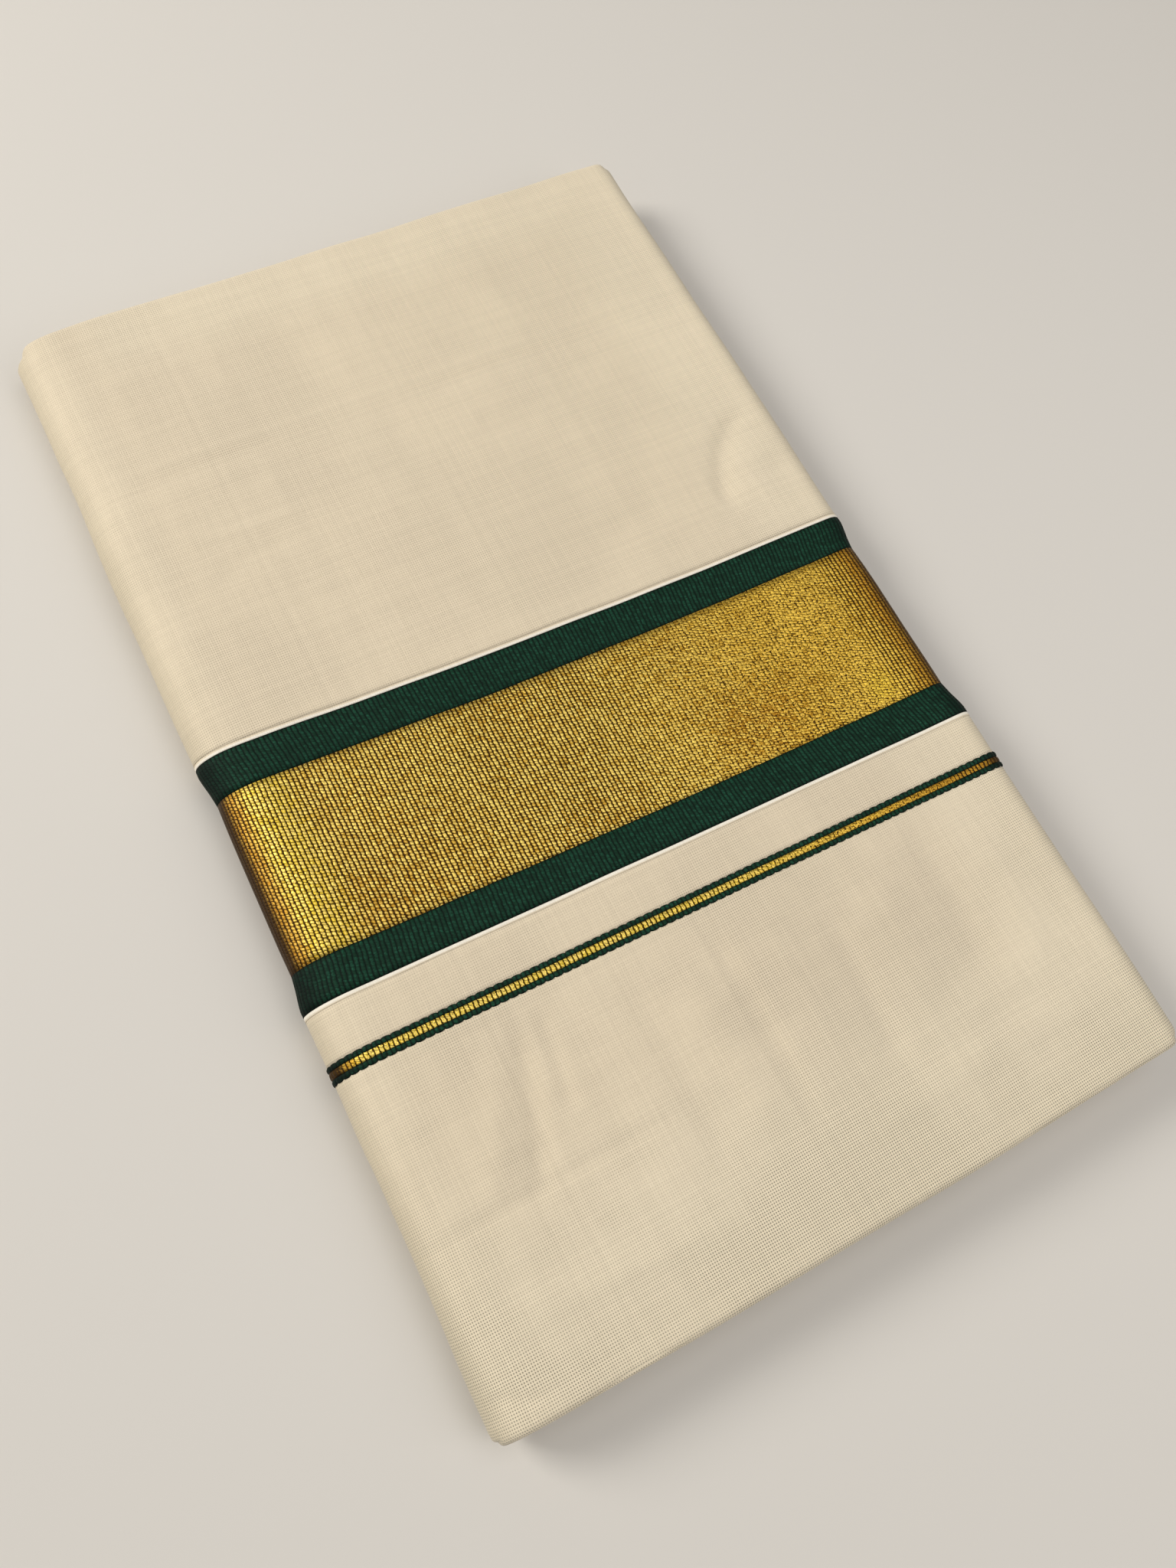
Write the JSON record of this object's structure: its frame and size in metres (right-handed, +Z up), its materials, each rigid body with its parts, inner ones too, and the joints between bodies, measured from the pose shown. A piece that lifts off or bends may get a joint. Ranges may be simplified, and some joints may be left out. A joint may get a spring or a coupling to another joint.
{
  "type": "folded saree",
  "caption": "Cream cotton saree folded into a flat packet, with a wide ribbed gold band between green stripes and a narrow green and gold border across it.",
  "frame": {"origin": "middle of the underside", "axes": "X runs across the packet from the thick roll on the left to the selvedges on the right, +Y along it towards the far fold, +Z up out of the top face"},
  "size_m": [0.28, 0.4555, 0.024],
  "materials": {
    "cream_cotton": "unbleached plain-weave cotton, matt, slightly open weave",
    "white_guard_line": "bleached cotton threads woven close, matt",
    "green_rib": "dense bottle-green ribbed weave with a slight sheen",
    "gold_rib": "metallic gold thread over fine ribs, glittering"
  },
  "bodies": {
    "root": {"folded_layers": "cream_cotton", "field_far": "cream_cotton", "guard_line_far": "white_guard_line", "green_stripe_far": "green_rib", "gold_band": "gold_rib", "green_stripe_near": "green_rib", "guard_line_near": "white_guard_line", "field_between": "cream_cotton", "narrow_green_far": "green_rib", "narrow_gold": "gold_rib", "narrow_green_near": "green_rib", "field_near": "cream_cotton"}
  },
  "joints": []
}
